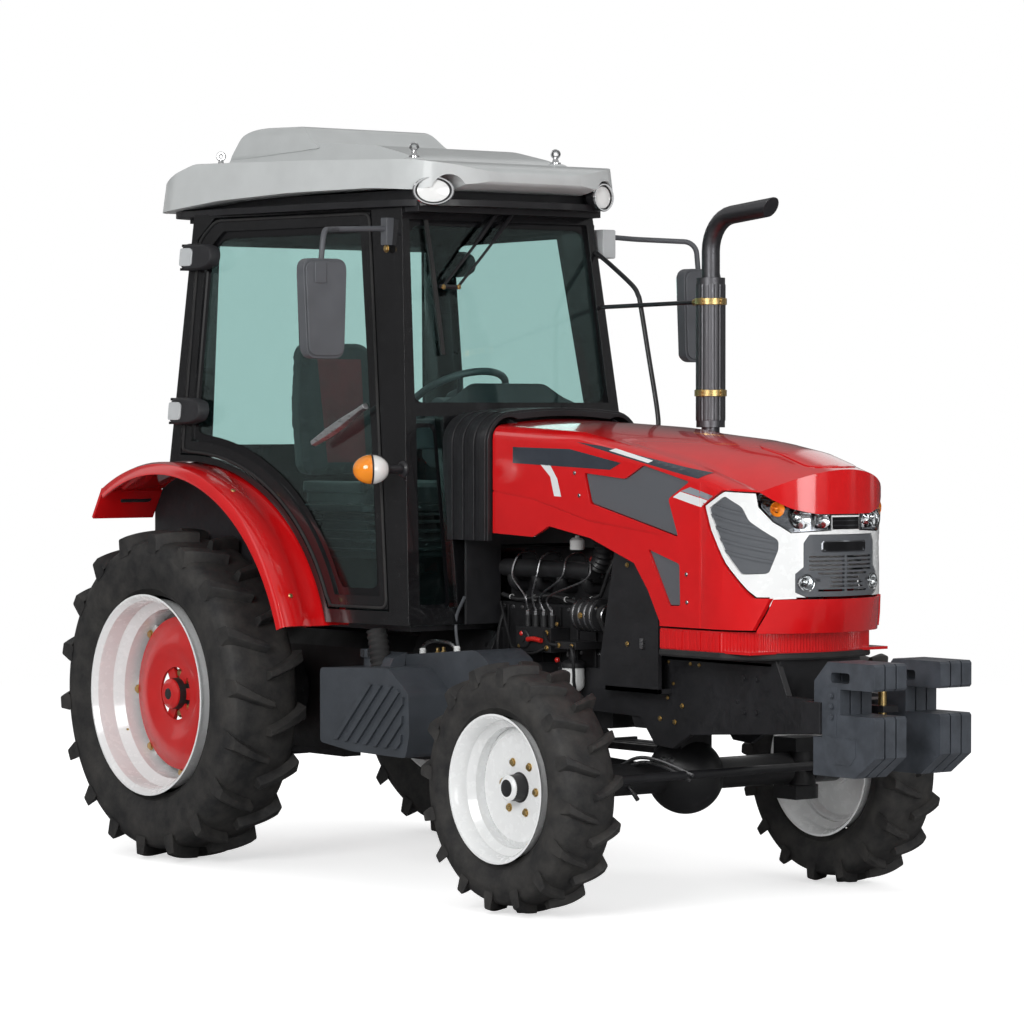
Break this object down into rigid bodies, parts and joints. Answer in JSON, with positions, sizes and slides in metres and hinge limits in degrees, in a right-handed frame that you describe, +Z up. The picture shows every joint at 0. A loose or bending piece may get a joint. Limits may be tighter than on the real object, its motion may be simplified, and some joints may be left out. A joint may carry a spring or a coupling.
{
  "type": "farm tractor",
  "caption": "Compact four-wheel-drive farm tractor with a glazed cab, opening doors, tilting bonnet, steering front wheels, front weights and a rear three-point hitch.",
  "frame": {"origin": "under the middle of the machine's length and width, on the ground that the tyres stand on", "axes": "+X forward, +Y to the machine's left, +Z up"},
  "size_m": [4.2434, 1.96, 2.7899],
  "materials": {
    "red_paint": "glossy",
    "disc_paint": "satin",
    "white_paint": "glossy",
    "roof_shell": "satin",
    "cab_paint": "glossy",
    "cast_black": "satin",
    "weight_paint": "matt painted",
    "moulded_black": "matt",
    "tank_plastic": "matt",
    "tyre_rubber": "matt",
    "window_glass": "clear, faintly green",
    "seat_cover": "matt",
    "lamp_chrome": "polished",
    "pipe_grey": "heat-proof matt",
    "radiator_black": "painted",
    "link_steel": "worn"
  },
  "bodies": {
    "chassis": {"transmission": "cast_black", "engine": "cast_black", "radiator": "radiator_black", "front_support": "cast_black", "front_axle": "cast_black", "front_weights": "weight_paint", "drawbar": "cast_black", "fuel_tank": "tank_plastic", "left_step": "tank_plastic", "cab_frame": "cab_paint", "cab_glass": "window_glass", "cab_floor": "moulded_black", "roof": "roof_shell", "seat": "seat_cover", "dashboard": "moulded_black", "steering_wheel": "moulded_black", "side_panels": "red_paint", "cowl": "moulded_black", "exhaust": "pipe_grey", "mirrors": "moulded_black", "lamps": "lamp_chrome", "fender_left": "red_paint", "fender_right": "red_paint"},
    "bonnet": {"bonnet": "red_paint", "nose_grille": "moulded_black", "headlamps": "lamp_chrome"},
    "lift_arms": {"lift_arms": "cast_black"},
    "tie_rod": {"tie_rod": "link_steel"},
    "rear_wheel_left": {"rear_tyre_left": "tyre_rubber", "rear_rim_left": "white_paint", "rear_disc_left": "disc_paint"},
    "front_wheel_left": {"front_tyre_left": "tyre_rubber", "front_rim_left": "white_paint"},
    "knuckle_left": {"knuckle_left": "cast_black"},
    "door_left": {"door_left": "cab_paint", "door_glass_left": "window_glass"},
    "lower_link_left": {"lower_link_left": "link_steel"},
    "lift_rod_left": {"lift_rod_left": "link_steel"},
    "rear_wheel_right": {"rear_tyre_right": "tyre_rubber", "rear_rim_right": "white_paint", "rear_disc_right": "disc_paint"},
    "front_wheel_right": {"front_tyre_right": "tyre_rubber", "front_rim_right": "white_paint"},
    "knuckle_right": {"knuckle_right": "cast_black"},
    "door_right": {"door_right": "cab_paint", "door_glass_right": "window_glass"},
    "lower_link_right": {"lower_link_right": "link_steel"},
    "lift_rod_right": {"lift_rod_right": "link_steel"}
  },
  "joints": [
    {"name": "rear_wheel_left_spin", "type": "hinge", "parent": "chassis", "child": "rear_wheel_left", "pos_m": [-1.2083, 0.698, 0.627], "axis": [0, 1, 0], "continuous": true},
    {"name": "front_wheel_left_spin", "type": "hinge", "parent": "knuckle_left", "child": "front_wheel_left", "pos_m": [0.9277, 0.734, 0.427], "axis": [0, 1, 0], "continuous": true},
    {"name": "rear_wheel_right_spin", "type": "hinge", "parent": "chassis", "child": "rear_wheel_right", "pos_m": [-1.2083, -0.698, 0.627], "axis": [0, 1, 0], "continuous": true},
    {"name": "front_wheel_right_spin", "type": "hinge", "parent": "knuckle_right", "child": "front_wheel_right", "pos_m": [0.9277, -0.734, 0.427], "axis": [0, 1, 0], "continuous": true},
    {"name": "steer_left", "type": "hinge", "parent": "chassis", "child": "knuckle_left", "pos_m": [0.9277, 0.545, 0.427], "axis": [0, 0, 1], "range_deg": [-40, 40]},
    {"name": "steer_right", "type": "hinge", "parent": "chassis", "child": "knuckle_right", "pos_m": [0.9277, -0.545, 0.427], "axis": [0, 0, 1], "range_deg": [-40, 40]},
    {"name": "tie_rod_pivot", "type": "hinge", "parent": "knuckle_left", "child": "tie_rod", "pos_m": [1.1777, 0.545, 0.427], "axis": [0, 0, 1], "range_deg": [-40, 40]},
    {"name": "door_left_hinge", "type": "hinge", "parent": "chassis", "child": "door_left", "pos_m": [-1.2443, 0.67927, 1.699], "axis": [0, -0.0896, 0.996], "range_deg": [0, 75]},
    {"name": "door_right_hinge", "type": "hinge", "parent": "chassis", "child": "door_right", "pos_m": [-1.2443, -0.67927, 1.699], "axis": [0, 0.0896, 0.996], "range_deg": [-75, 0]},
    {"name": "bonnet_hinge", "type": "hinge", "parent": "chassis", "child": "bonnet", "pos_m": [0.2167, 0, 1.655], "axis": [0, -1, 0], "range_deg": [0, 50]},
    {"name": "lift_arms_hinge", "type": "hinge", "parent": "chassis", "child": "lift_arms", "pos_m": [-1.4083, 0, 0.985], "axis": [0, 1, 0], "range_deg": [-10, 45]},
    {"name": "lower_link_left_hinge", "type": "hinge", "parent": "chassis", "child": "lower_link_left", "pos_m": [-1.2683, 0.325, 0.455], "axis": [0, 1, 0], "range_deg": [-10, 45]},
    {"name": "lift_rod_left_hinge", "type": "hinge", "parent": "lift_arms", "child": "lift_rod_left", "pos_m": [-1.73329, 0.297, 0.9277], "axis": [0, 1, 0], "range_deg": [-45, 10]},
    {"name": "lower_link_right_hinge", "type": "hinge", "parent": "chassis", "child": "lower_link_right", "pos_m": [-1.2683, -0.325, 0.455], "axis": [0, 1, 0], "range_deg": [-10, 45]},
    {"name": "lift_rod_right_hinge", "type": "hinge", "parent": "lift_arms", "child": "lift_rod_right", "pos_m": [-1.73329, -0.297, 0.9277], "axis": [0, 1, 0], "range_deg": [-45, 10]}
  ],
  "couplings": [
    {"joint": "steer_right", "follows": "steer_left", "ratio": 1},
    {"joint": "tie_rod_pivot", "follows": "steer_left", "ratio": -1},
    {"joint": "lower_link_left_hinge", "follows": "lift_arms_hinge", "ratio": 1},
    {"joint": "lift_rod_left_hinge", "follows": "lift_arms_hinge", "ratio": -1},
    {"joint": "lower_link_right_hinge", "follows": "lift_arms_hinge", "ratio": 1},
    {"joint": "lift_rod_right_hinge", "follows": "lift_arms_hinge", "ratio": -1}
  ]
}
